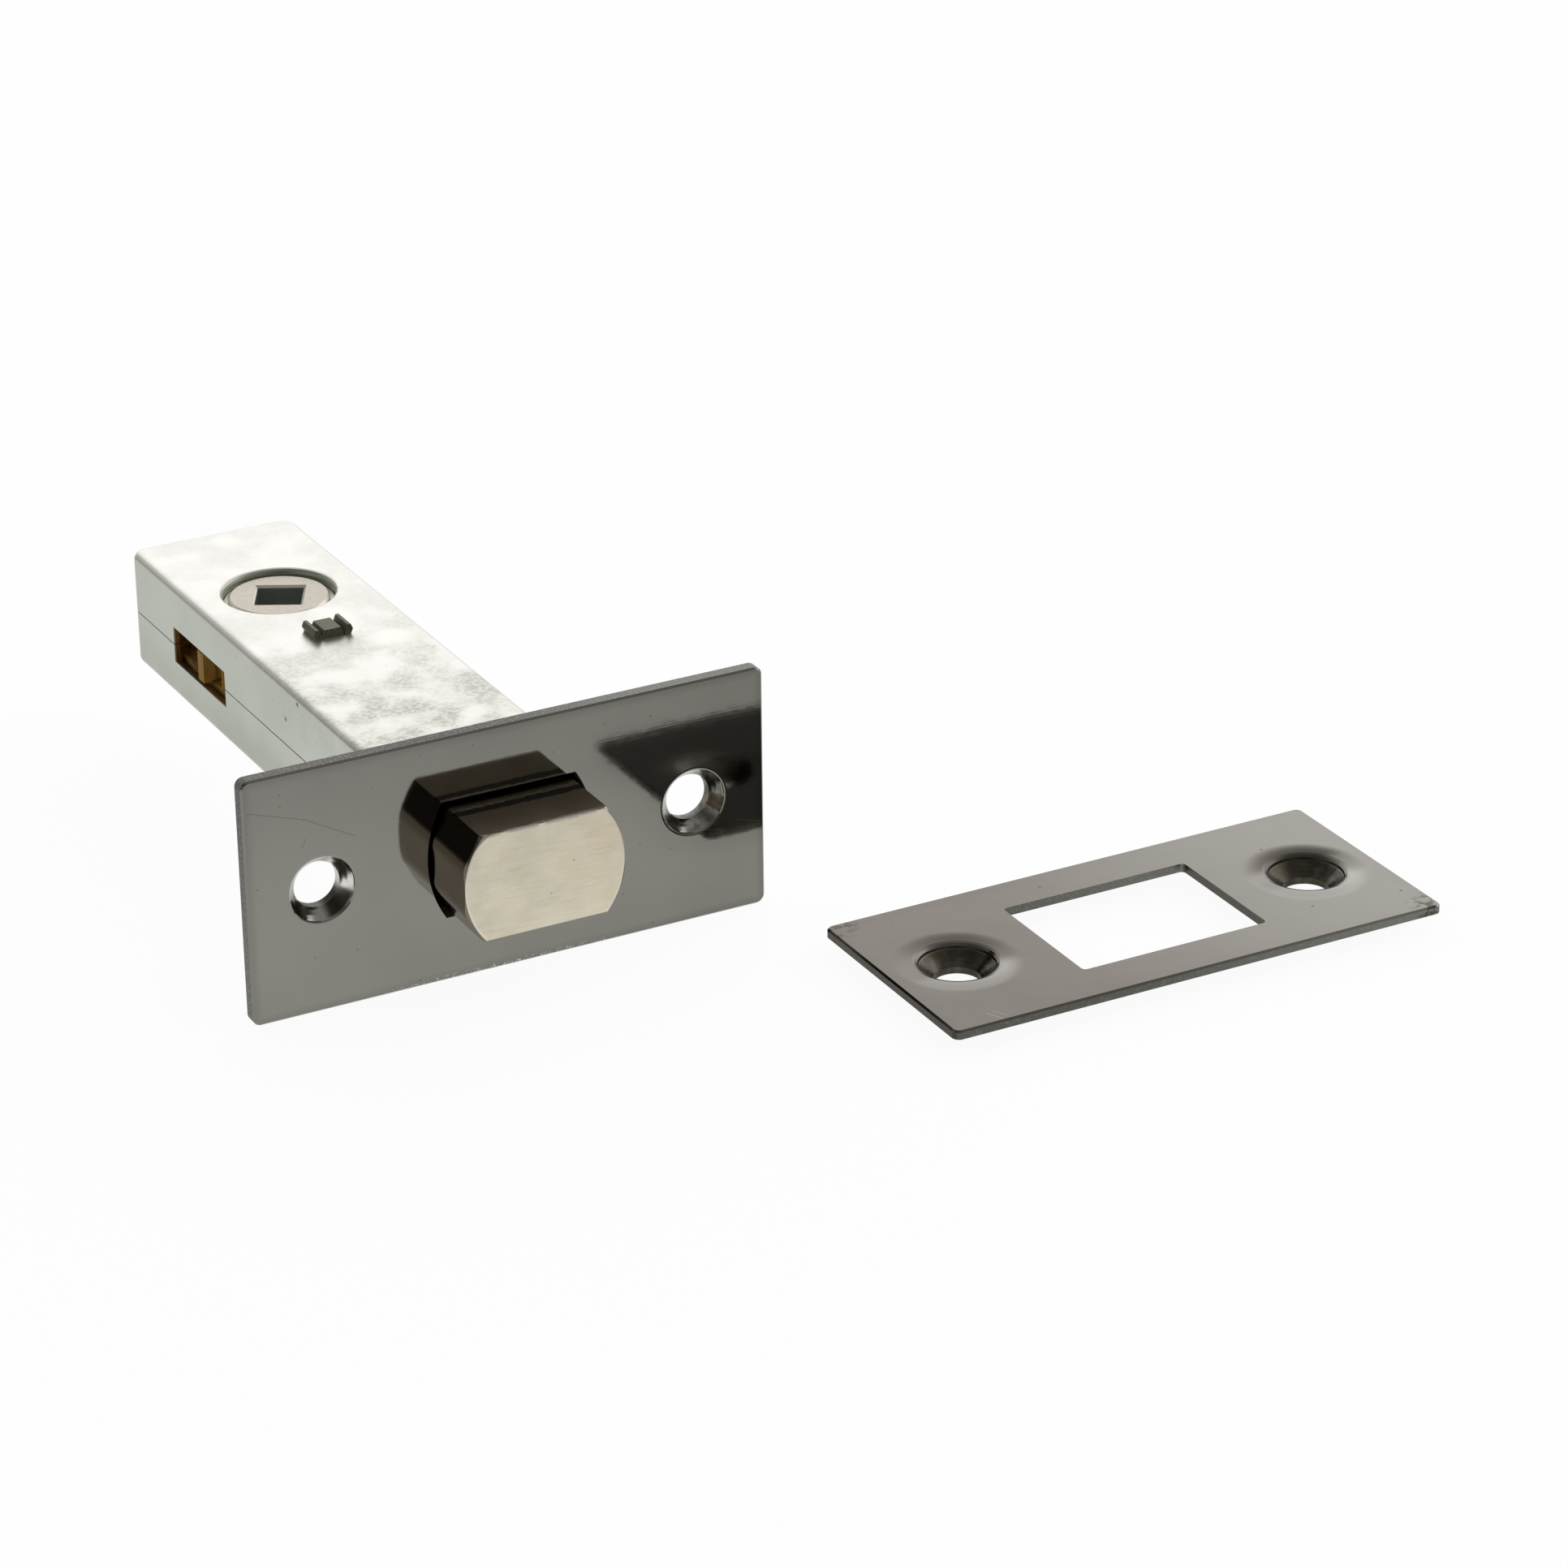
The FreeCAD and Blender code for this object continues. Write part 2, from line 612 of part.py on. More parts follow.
def make_case_tie():
    body = new_body("case_tie")
    for name, width, depth, height in (
            ("tie_middle", "tie_width", "tie_depth", f"2 * {CASE_INNER_TOP}"),
            ("tie_neck", "tie_neck_width", "tie_neck_depth", "case_height")):
        plan = new_sketch(body, name, "XY_Plane")
        draw_outline(plan, rectangle(
            f"-{width} / 2", f"{width} / 2",
            f"{TIE_DISTANCE} - {depth} / 2", f"{TIE_DISTANCE} + {depth} / 2"))
        extrude(body, "Pad", plan, height, both=True)

    # Two chisel cuts split the end and splay it over the case, and leave a narrower bar between them.
    head = new_sketch(body, "tie_head", "XZ_Plane", ("0", "0", f"-{TIE_DISTANCE}"))
    top = f"({CASE_TOP} + tie_head_height)"
    right_side = [
        ("tie_width / 2", CASE_TOP),
        ("tie_head_width / 2", f"{CASE_TOP} + tie_head_height / 2"),
        ("tie_head_width / 2 - tie_cut_width / 3", top),
        ("tie_cut_spacing / 2 + tie_cut_width / 2", top),
        ("tie_cut_spacing / 2", f"{top} - tie_cut_depth"),
        ("tie_cut_spacing / 2 - tie_cut_width / 2", f"{top} - tie_cut_width / 4"),
    ]
    left_side = [(f"-({x})", z) for x, z in reversed(right_side)]
    draw_outline(head, right_side + left_side)
    upper_head = extrude(body, "Pad", head, "tie_head_depth", both=True)
    mirror(body, "tie_lower_head", "XY_Plane", [upper_head], True)
    beside_bar = new_sketch(body, "tie_beside_bar", "YZ_Plane")
    for end in ("", "-"):
        for face in ("-", "+"):
            draw_outline(beside_bar, rectangle(
                f"{TIE_DISTANCE} {face} tie_bar_depth / 2", f"{TIE_DISTANCE} {face} tie_head_depth",
                f"{end}{CASE_TOP}", f"{end}({top} + tie_head_height)"))
    extrude(body, "Pocket", beside_bar, "tie_cut_spacing", both=True)
    return body


def make_follower():
    """The follower's own frame has its axis at the origin and its fork towards -X. The fork lies back
    by fork_lead, in degrees, from the square hole's diagonal, which shares out the pin's play."""
    body = new_body("follower")
    face = f"({CASE_TOP} - hub_face_depth)"
    shoulder = f"({CASE_TOP} - journal_depth)"
    journal = "(collar_radius - journal_gap)"
    inner_end = f"({COLLAR_END} - flange_gap)"
    profile = new_sketch(body, "follower_profile", "XZ_Plane")
    draw_outline(profile, [
        ("0", f"-{face}"),
        (HUB_FACE_RADIUS, f"-{face}"),
        (HUB_FACE_RADIUS, f"-{shoulder}"),
        (journal, f"-{shoulder}"),
        (journal, f"-{inner_end}"),
        ("barrel_radius", f"-{inner_end}"),
        ("barrel_radius", ARM_BOTTOM),
        ("collar_radius + flange_overlap", ARM_BOTTOM),
        ("collar_radius + flange_overlap", inner_end),
        (journal, inner_end),
        (journal, shoulder),
        (HUB_FACE_RADIUS, shoulder),
        (HUB_FACE_RADIUS, face),
        ("0", face),
    ])
    revolve(body, "Revolution", profile)

    arm = new_sketch(body, "follower_arm", "XY_Plane", ("0", "0", ARM_BOTTOM))
    arm_reach = f"sqrt(arm_radius ^ 2 - {ARM_HALF_WIDTH} ^ 2)"
    draw_outline(arm, [
        ("0", f"-{ARM_HALF_WIDTH}"),
        ("0", ARM_HALF_WIDTH),
        (f"-{arm_reach}", ARM_HALF_WIDTH, "arm_radius"),
        (f"-{arm_reach}", f"-{ARM_HALF_WIDTH}"),
    ])
    extrude(body, "Pad", arm, f"2 * {ARM_HALF_HEIGHT}")
    fork = new_sketch(body, "follower_fork", "XY_Plane", ("0", "0", ARM_TOP))
    fork_half = "(pin_radius + pin_play)"
    draw_outline(fork, rectangle(
        "-(arm_radius + 1)", "-(pin_offset - pin_radius - pin_end_gap)", f"-{fork_half}", fork_half))
    extrude(body, "Pocket", fork, f"2 * {ARM_HALF_HEIGHT}")

    square = new_sketch(body, "spindle_hole", "XY_Plane")
    along = "(spindle_size / sqrt(2) * cos(fork_lead))"
    across = "(spindle_size / sqrt(2) * sin(fork_lead))"
    draw_outline(square, [
        (across, f"-{along}"), (along, across), (f"-{across}", along), (f"-{along}", f"-{across}")])
    extrude(body, "Pocket", square, both=True)
    dress(body, "Chamfer", "hub_edges", "Size", "hub_edge_break", lies_at_either("Z", value(face)))

    angle = value("atan((bolt_out - pin_offset) / pin_offset)") - value("fork_lead")
    body.Placement = FreeCAD.Placement(
        FreeCAD.Vector(0, value("hub_distance"), 0),
        FreeCAD.Rotation(FreeCAD.Vector(0, 0, 1), angle))
    return body


def make_detent_spring():
    """A bowed leaf whose feet bear on the case's right wall and whose nib meets the tail's notches."""
    body = new_body("detent_spring")
    wall = CASE_INNER_SIDE
    nib = f"({TAIL_RIGHT} + detent_gap)"
    shoulder = f"(({wall} - spring_thickness + {nib}) / 2)"
    inner = [
        (f"{wall} - spring_thickness", "detent_distance - spring_half_length"),
        (f"{wall} - spring_thickness", "detent_distance - spring_half_length + spring_foot_length"),
        (shoulder, "detent_distance - nib_half_length"),
        (nib, "detent_distance"),
        (shoulder, "detent_distance + nib_half_length"),
        (f"{wall} - spring_thickness", "detent_distance + spring_half_length - spring_foot_length"),
        (f"{wall} - spring_thickness", "detent_distance + spring_half_length"),
    ]
    outer = [(f"{x} + spring_thickness", y) for x, y in inner]
    foot_height = f"({TAIL_TOP} - tail_gap / 2 - spring_height)"
    profile = new_sketch(body, "spring_profile", "XY_Plane", ("0", "0", foot_height))
    draw_outline(profile, outer + inner[::-1])
    extrude(body, "Pad", profile, "spring_height")
    return body


PIECES = [
    make_forend_plate(),
    make_bolt_head(),
    make_bolt_tail(),
    make_headed_pin("tail_rivet_left", "-rivet_spacing / 2", RIVET_DISTANCE, "rivet_radius",
                    f"({BOLT_HALF_HEIGHT} - rivet_recess)", "rivet_head_radius", "rivet_head_height"),
    make_headed_pin("tail_rivet_right", "rivet_spacing / 2", RIVET_DISTANCE, "rivet_radius",
                    f"({BOLT_HALF_HEIGHT} - rivet_recess)", "rivet_head_radius", "rivet_head_height"),
    make_headed_pin("drive_pin", "-pin_offset", PIN_DISTANCE, "pin_radius",
                    f"({ARM_TOP} - pin_top_gap)", "pin_head_radius", "pin_head_height"),
    make_case_shell("case_upper_shell", 1),
    make_case_shell("case_lower_shell", -1),
    make_case_tie(),
    make_follower(),
    make_detent_spring(),
    make_strike_plate(),
]

doc.recompute()
failed = [thing.Name for thing in doc.Objects if {"Invalid", "Error"} & set(thing.State)]
if failed:
    raise ValueError(f"these objects failed: {failed}")

for piece in PIECES:
    if piece.Shape.isNull() or not piece.Shape.isValid() or len(piece.Shape.Solids) != 1:
        raise ValueError(f"{piece.Label} isn't one valid solid")

os.makedirs("parts", exist_ok=True)
for piece in PIECES:
    piece.Shape.exportStep(f"parts/{piece.Label}.step")
    print(f"{piece.Label}: {piece.Shape.Volume:.1f} mm3, {piece.Shape.BoundBox}")
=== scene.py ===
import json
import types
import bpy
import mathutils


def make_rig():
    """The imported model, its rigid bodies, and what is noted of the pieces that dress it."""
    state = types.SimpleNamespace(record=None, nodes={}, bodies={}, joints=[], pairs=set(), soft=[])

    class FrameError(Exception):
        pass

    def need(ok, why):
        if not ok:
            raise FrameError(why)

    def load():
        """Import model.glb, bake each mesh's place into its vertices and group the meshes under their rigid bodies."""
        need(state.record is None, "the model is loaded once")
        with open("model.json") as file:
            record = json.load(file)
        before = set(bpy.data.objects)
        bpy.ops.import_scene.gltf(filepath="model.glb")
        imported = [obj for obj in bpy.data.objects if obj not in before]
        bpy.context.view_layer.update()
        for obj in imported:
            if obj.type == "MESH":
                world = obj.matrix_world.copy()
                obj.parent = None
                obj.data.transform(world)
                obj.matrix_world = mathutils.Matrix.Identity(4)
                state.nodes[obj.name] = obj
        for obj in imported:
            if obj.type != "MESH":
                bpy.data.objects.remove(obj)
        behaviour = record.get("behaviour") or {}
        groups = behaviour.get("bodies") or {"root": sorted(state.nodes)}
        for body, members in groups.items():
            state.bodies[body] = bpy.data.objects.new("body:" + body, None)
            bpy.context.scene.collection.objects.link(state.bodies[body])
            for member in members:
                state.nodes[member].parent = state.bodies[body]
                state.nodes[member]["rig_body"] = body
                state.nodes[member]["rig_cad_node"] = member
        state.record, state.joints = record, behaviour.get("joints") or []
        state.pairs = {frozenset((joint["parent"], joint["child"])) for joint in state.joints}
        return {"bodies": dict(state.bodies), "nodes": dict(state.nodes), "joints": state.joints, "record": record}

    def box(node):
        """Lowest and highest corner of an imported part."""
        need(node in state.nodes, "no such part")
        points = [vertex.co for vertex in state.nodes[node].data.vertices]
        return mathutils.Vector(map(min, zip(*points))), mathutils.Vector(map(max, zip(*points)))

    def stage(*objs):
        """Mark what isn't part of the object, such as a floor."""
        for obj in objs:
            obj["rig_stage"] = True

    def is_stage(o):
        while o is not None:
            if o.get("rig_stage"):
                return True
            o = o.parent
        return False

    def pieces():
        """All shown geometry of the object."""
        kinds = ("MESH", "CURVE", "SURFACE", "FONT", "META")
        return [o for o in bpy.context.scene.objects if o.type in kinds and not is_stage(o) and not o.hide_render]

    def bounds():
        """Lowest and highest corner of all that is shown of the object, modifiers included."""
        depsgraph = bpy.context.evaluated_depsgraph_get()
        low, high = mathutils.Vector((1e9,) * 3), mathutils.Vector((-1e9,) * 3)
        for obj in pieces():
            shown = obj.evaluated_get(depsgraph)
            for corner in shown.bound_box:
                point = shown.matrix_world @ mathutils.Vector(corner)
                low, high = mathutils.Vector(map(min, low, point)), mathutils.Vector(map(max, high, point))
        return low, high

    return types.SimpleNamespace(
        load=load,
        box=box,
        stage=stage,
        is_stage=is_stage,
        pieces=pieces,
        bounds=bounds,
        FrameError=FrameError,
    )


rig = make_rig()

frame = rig.load()

import json
import math
from contextlib import suppress

import bpy
from mathutils import Vector

# The tubular deadbolt and its strike plate, on a white floor. All lengths are in metres, and
# materials are laid out in the object's own frame: +X along the forend, -Y the way the bolt leaves,
# +Z up.
MM = 0.001

size_after_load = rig.bounds()

# Colours, in linear light
BLACK_NICKEL = (0.269, 0.265, 0.235)
STRIKE_NICKEL = (0.170, 0.152, 0.133)
FOREND_SIDE = (0.172, 0.160, 0.147)
STRIKE_SIDE = (0.13, 0.136, 0.118)
# Bare metal where plating has flaked, and a painted highlight on the walls of the bolt's opening
FLAKE_AND_WALL_HIGHLIGHT = (0.85, 0.84, 0.80)
# Worn nickel, also used for painted highlights and painted light
NICKEL_WEAR_AND_SHEEN = (0.55, 0.54, 0.50)
# Painted highlight in a countersink
NICKEL_PAINTED_HIGHLIGHT = (0.935, 0.918, 0.85)
BOLT_SIDE = (0.25, 0.20, 0.15)
BOLT_FLAT = (0.34, 0.27, 0.19)
BOLT_SCUFF = (0.75, 0.78, 0.62)
BOLT_FACE = (0.92, 0.86, 0.69)
BOLT_RIM = (0.98, 0.95, 0.85)
BOLT_YELLOWED = (0.92, 0.80, 0.58)
BOLT_WORN = (0.30, 0.28, 0.24)
ZINC = (0.97, 0.95, 0.90)
# Painted reflection: the case's sides greener and darker than its top
ZINC_SIDE_PAINTED_REFLECTION = (0.88, 0.92, 0.82)
# Smudges, also used for painted shade
ZINC_SMUDGE_AND_SHADE = (0.40, 0.40, 0.33)
# Painted shade in the collars
COLLAR_PAINTED_SHADE = (0.36, 0.39, 0.31)
# Dirt, also used for painted shade
DIRT_AND_SHADE = (0.06, 0.05, 0.035)
# Black grease, also used for painted shade
BLACK_GREASE_AND_SHADE = (0.024, 0.02, 0.014)
TIE_STEEL = (0.175, 0.167, 0.115)
HUB_FACE = (0.665, 0.61, 0.53)
HUB_RIM = (0.85, 0.80, 0.75)
# Painted light on the walls of the follower's square hole
HUB_HOLE_PAINTED_LIGHT = (0.45, 0.48, 0.44)
FORK_GOLD = (0.95, 0.58, 0.15)
FORK_DARK = (0.42, 0.30, 0.12)
FORK_TIP = (0.46, 0.24, 0.02)
PLAIN_STEEL = (0.42, 0.40, 0.36)
FLOOR_WHITE = (0.93, 0.93, 0.93)
WHITE = (1.0, 1.0, 1.0)

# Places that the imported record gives
MOUNTS = {mount["name"]: mount for mount in frame["record"]["mounts"]}
HUB_AXIS = MOUNTS["spindle"]["pos_m"]

# Sizes of the finest marks
SCRATCH_HALF_WIDTH = 0.07 * MM
RING_SPACING = 0.42 * MM
EDGE_FADE = 0.1 * MM

# Sizes of the pressed case
SHEET_THICKNESS = 0.65 * MM
COLLAR_OUTER_RADIUS = 6.6 * MM


def shade(colour, factor):
    return tuple(factor * part for part in colour)


def screw_holes(mount_name):
    """The centres of a plate's two screw holes, the left one first."""
    mount = MOUNTS[mount_name]
    x, y, z = mount["pos_m"]
    aside = mount["dims"]["spacing_x_mm"] / 2 * MM
    return [(x - aside, y, z), (x + aside, y, z)]


class Nodes:
    """The nodes of a material or world. Most methods add a node and return a socket of its result."""

    def __init__(self, owner):
        owner.use_nodes = True
        self.nodes = owner.node_tree.nodes
        self.links = owner.node_tree.links

    def feed(self, socket, source):
        """Link a socket to another node's output, or give it a plain number, vector or colour."""
        if isinstance(source, bpy.types.NodeSocket):
            self.links.new(source, socket)
        elif isinstance(source, tuple) and socket.type == "RGBA":
            socket.default_value = (*source, 1.0)
        else:
            socket.default_value = source

    def node(self, kind, settings=None, **inputs):
        """Add a node and feed its inputs by name, with an underscore for each space."""
        made = self.nodes.new(kind)
        for name, setting in (settings or {}).items():
            setattr(made, name, setting)
        for name, source in inputs.items():
            self.feed(made.inputs[name.replace("_", " ")], source)
        return made

    def math(self, operation, *numbers):
        made = self.node("ShaderNodeMath", {"operation": operation})
        for socket, number in zip(made.inputs, numbers):
            self.feed(socket, number)
        return made.outputs["Value"]

    def vector_math(self, operation, *vectors, **inputs):
        """Return all the outputs, because some operations give a vector and some a number."""
        made = self.node("ShaderNodeVectorMath", {"operation": operation}, **inputs)
        for socket, vector in zip(made.inputs, vectors):
            self.feed(socket, vector)
        return made.outputs

    def parts(self, vector):
        """A vector's X, Y and Z."""
        return self.node("ShaderNodeSeparateXYZ", Vector=vector).outputs

    def times(self, *factors):
        product = factors[0]
        for factor in factors[1:]:
            product = self.math("MULTIPLY", product, factor)
        return product

    def most(self, *masks):
        largest = masks[0]
        for mask in masks[1:]:
            largest = self.math("MAXIMUM", largest, mask)
        return largest

    def step(self, number, low, high, at_low=0.0, at_high=1.0):
        """Go smoothly from at_low to at_high as the number goes from low to high."""
        made = self.node("ShaderNodeMapRange", {"interpolation_type": "SMOOTHSTEP"},
                         Value=number, From_Min=low, From_Max=high, To_Min=at_low, To_Max=at_high)
        return made.outputs["Result"]

    def choose(self, share, first, second):
        """Go from the first number to the second as the share goes from 0 to 1."""
        return self.node("ShaderNodeMix", Factor=share, A=first, B=second).outputs["Result"]

    def band(self, number, low, high, soft):
        """1 where the number lies between low and high, going to 0 within soft of them."""
        return self.times(self.step(number, low - soft, low), self.step(number, high + soft, high))


class Finish(Nodes):
    """A metal finish, laid out in the object's own frame. A mask is 1 where it applies and 0 where it
    doesn't, and a tone is a colour that may vary over the surface."""

    def __init__(self, name):
        self.material = bpy.data.materials.new(name)
        super().__init__(self.material)
        self.shader = self.nodes["Principled BSDF"]
        self.shader.inputs["Metallic"].default_value = 1.0
        coordinates = self.node("ShaderNodeTexCoord").outputs
        self.place = coordinates["Object"]
        self.x, self.y, self.z = self.parts(self.place)
        self.facing = self.parts(coordinates["Normal"])

    def noise(self, size, detail, stretch=(1.0, 1.0, 1.0), turn=0.0):
        """Noise whose lumps are about size across, longer along an axis the more it is stretched, and
        turned about Y and Z."""
        placed = self.node("ShaderNodeMapping", Vector=self.place, Rotation=(0.0, turn, turn),
                           Scale=tuple(1.0 / (size * part) for part in stretch))
        made = self.node("ShaderNodeTexNoise", Vector=placed.outputs["Vector"], Scale=1.0, Detail=detail)
        return made.outputs["Fac"]

    def patches(self, low, high, size, detail, stretch=(1.0, 1.0, 1.0)):
        """1 in patches where noise of that size is above high, and 0 where it is below low."""
        return self.step(self.noise(size, detail, stretch), low, high)

    def specks(self, size, radius, shift=0.0):
        """Round specks, about size apart, with their radius given as a part of that."""
        placed = self.node("ShaderNodeMapping", Vector=self.place, Location=(shift,) * 3,
                           Scale=(1.0 / size,) * 3)
        cells = self.node("ShaderNodeTexVoronoi", Vector=placed.outputs["Vector"], Scale=1.0)
        return self.step(cells.outputs["Distance"], radius, radius * 0.5)

    def mix(self, share, first, second):
        """Go from the first tone to the second as the share goes from 0 to 1."""
        made = self.node("ShaderNodeMix", {"data_type": "RGBA"}, Factor=share)
        # The sockets for colours come after those for numbers and vectors, under the same names
        self.feed(made.inputs[6], first)
        self.feed(made.inputs[7], second)
        return made.outputs[2]

    def tint(self, tone, colour, strength, *masks):
        """Lay a colour over a tone, at that strength where all the masks are 1."""
        return self.mix(self.times(*masks, strength), tone, colour)

    def uneven(self, noise, colour, darkest):
        """A colour that the noise darkens in patches, at most to that share of it."""
        return self.mix(self.step(noise, 0.3, 0.7), shade(colour, darkest), colour)

    def distance(self, centre, across):
        """Distance from an axis through centre, over the two axes named in across."""
        total = 0.0
        for axis in across:
            offset = self.math("SUBTRACT", getattr(self, axis), centre["xyz".index(axis)])
            total = self.math("ADD", self.math("MULTIPLY", offset, offset), total)
        return self.math("SQRT", total)

    def within(self, centres, across, outer, inner):
        """1 within the inner radius of any of the centres, falling to 0 at the outer radius."""
        return self.most(*[self.step(self.distance(centre, across), outer, inner) for centre in centres])

    def spots(self, centres, across, radius):
        """Round spots with soft edges at the centres."""
        return self.within(centres, across, radius, radius * 0.4)

    def scratch(self, start, end):
        """A fine straight line from start to end."""
        way = Vector(end) - Vector(start)
        offset = self.vector_math("SUBTRACT", self.place, start)["Vector"]
        along = self.vector_math("DOT_PRODUCT", offset, way / way.length_squared)["Value"]
        part = self.math("MINIMUM", self.math("MAXIMUM", along, 0.0), 1.0)
        nearest = self.vector_math("SCALE", way, Scale=part)["Vector"]
        away = self.vector_math("DISTANCE", offset, nearest)["Value"]
        return self.step(away, SCRATCH_HALF_WIDTH, SCRATCH_HALF_WIDTH * 0.3)

    def scratches(self, *lines):
        return self.most(*[self.scratch(start, end) for start, end in lines])

    def near_edge(self, node, axes, reach):
        """1 at the outline of the node's box over the named axes, falling to 0 by reach inside it."""
        low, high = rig.box(node)
        edge = 0.0
        for axis in axes:
            number = "xyz".index(axis)
            middle = (low[number] + high[number]) / 2
            half = (high[number] - low[number]) / 2
            out = self.math("ABSOLUTE", self.math("SUBTRACT", getattr(self, axis), middle))
            edge = self.most(edge, self.step(out, half - reach, half))
        return edge

    def facing_along(self, axis):
        """From 0 to 1, how squarely the surface faces either way along the axis."""
        return self.math("ABSOLUTE", self.facing[axis.upper()])

    def upright_to(self, axis):
        """1 on walls that stand along the axis, 0 on faces square to it and on slopes."""
        return self.step(self.facing_along(axis), 0.45, 0.25)

    def turned_rings(self, holes, across, mouth):
        """The height of fine turned rings inside the cones of screw holes."""
        rings = 0.0
        for hole in holes:
            radius = self.distance(hole, across)
            ripple = self.math("SINE", self.math("MULTIPLY", radius, 2 * math.pi / RING_SPACING))
            rings = self.math("ADD", rings, self.times(ripple, self.step(radius, mouth, 0.9 * mouth)))
        return rings

    def bump(self, *layers):
        """Raise the surface by layers, each a height and how far a height of 1 raises it."""
        total = 0.0
        for height, depth in layers:
            total = self.math("ADD", total, self.times(height, depth / MM))
        made = self.node("ShaderNodeBump", Height=total, Distance=MM, Strength=1.0)
        self.links.new(made.outputs["Normal"], self.shader.inputs["Normal"])

    def unplated(self, mask):
        """Take the metallic sheen away where the mask is 1."""
        self.feed(self.shader.inputs["Metallic"], self.step(mask, 0.0, 1.0, 1.0, 0.0))

    def finish(self, tone, roughness):
        self.feed(self.shader.inputs["Base Color"], tone)
        self.feed(self.shader.inputs["Roughness"], roughness)
        return self.material


def nickel_tone(surface, colour, edge, edge_dark):
    """Black nickel with faint clouds, pits and glints, darker where the edge mask is 1."""
    pits = surface.specks(2.3 * MM, 0.055)
    glints = surface.specks(1.7 * MM, 0.035, 0.4)
    clouds = surface.noise(9 * MM, 4.0)
    tone = surface.uneven(clouds, colour, 0.95)
    tone = surface.tint(tone, DIRT_AND_SHADE, edge_dark, edge)
    tone = surface.tint(tone, DIRT_AND_SHADE, 0.6, pits)
    return surface.tint(tone, NICKEL_WEAR_AND_SHEEN, 0.4, glints)


def chipped_sides(surface, tone, side_colour, sides, chipped):
    """The narrow sides of a nickel plate, chipped here and there."""
    chips = surface.patches(0.50, 0.66, 0.3 * MM, 3.0)
    return surface.mix(sides, tone, surface.tint(side_colour, NICKEL_WEAR_AND_SHEEN, chipped, chips))


def on_forend(x, z):
    """A place on the forend's front, given in millimetres."""
    return (x * MM, 0.0, z * MM)


def forend_scratches(surface, tone):
    """A long bent scratch and a short one above the left hole, and short bright ones round the
    right hole."""
    dark = surface.scratches(
        (on_forend(-28.0, 9.9), on_forend(-22.0, 7.9)),
        (on_forend(-22.0, 7.9), on_forend(-16.7, 4.9)),
        (on_forend(-22.4, 4.9), on_forend(-22.0, 5.8)))
    bright = surface.scratches(
        (on_forend(25.3, -3.1), on_forend(27.9, -3.9)),
        (on_forend(20.9, -3.3), on_forend(23.9, -3.9)),
        (on_forend(24.8, 0.9), on_forend(25.3, 1.7)))
    tone = surface.tint(tone, DIRT_AND_SHADE, 0.35, dark)
    return surface.tint(tone, NICKEL_WEAR_AND_SHEEN, 0.7, bright)


def forend_wear(surface, tone, sides, low, high):
    """Flakes off the lower edge under the bolt, a darker right end, and a painted highlight that lightens the top side
    towards the right."""
    lowest = surface.step(surface.z, low[2] + 0.75 * MM, low[2] + 0.2 * MM)
    under_bolt = surface.band(surface.x, -9 * MM, 5 * MM, 8 * MM)
    flakes = surface.patches(0.50, 0.66, 0.22 * MM, 3.0, (1.6, 1.0, 1.0))
    tone = surface.tint(tone, FLAKE_AND_WALL_HIGHLIGHT, 0.6, lowest, under_bolt, flakes)
    tone = surface.tint(tone, DIRT_AND_SHADE, 0.10, surface.step(surface.x, 10 * MM, high[0]))
    # Painted highlight: the top side lightened towards the right
    lit_top_side = surface.times(sides, surface.step(surface.facing["Z"], 0.5, 0.9))
    return surface.tint(tone, NICKEL_WEAR_AND_SHEEN, 0.35, lit_top_side, surface.step(surface.x, -10 * MM, 20 * MM))


def forend_cones(surface, tone, cones, left_hole):
    """The countersinks: worn and stained, the right one more, and the left one with a painted highlight at its upper
    right and painted shade at its lower right."""
    tone = surface.tint(tone, NICKEL_WEAR_AND_SHEEN, 0.3, cones)
    left_cone = surface.times(cones, surface.step(surface.x, 0.0, -1 * MM))
    rightward = left_hole[0] + 0.1 * MM
    # Painted highlight at the left cone's upper right and painted shade at its lower right
    painted_cone_highlight = surface.times(surface.step(surface.x, rightward + 0.6 * MM, rightward + 1.6 * MM),
                                surface.step(surface.z, -1.4 * MM, -0.2 * MM))
    painted_cone_shade = surface.times(surface.step(surface.x, rightward, rightward + 1.0 * MM),
                                surface.step(surface.z, -0.6 * MM, -1.7 * MM))
    tone = surface.tint(tone, NICKEL_PAINTED_HIGHLIGHT, 1.0, left_cone, painted_cone_highlight)
    tone = surface.tint(tone, DIRT_AND_SHADE, 1.0, left_cone, painted_cone_shade)
    stains = surface.patches(0.40, 0.60, 1.3 * MM, 4.0)
    more_to_right = surface.step(surface.x, -5 * MM, 5 * MM, 0.2, 0.55)
    return surface.tint(tone, DIRT_AND_SHADE, 1.0, cones, stains, more_to_right)


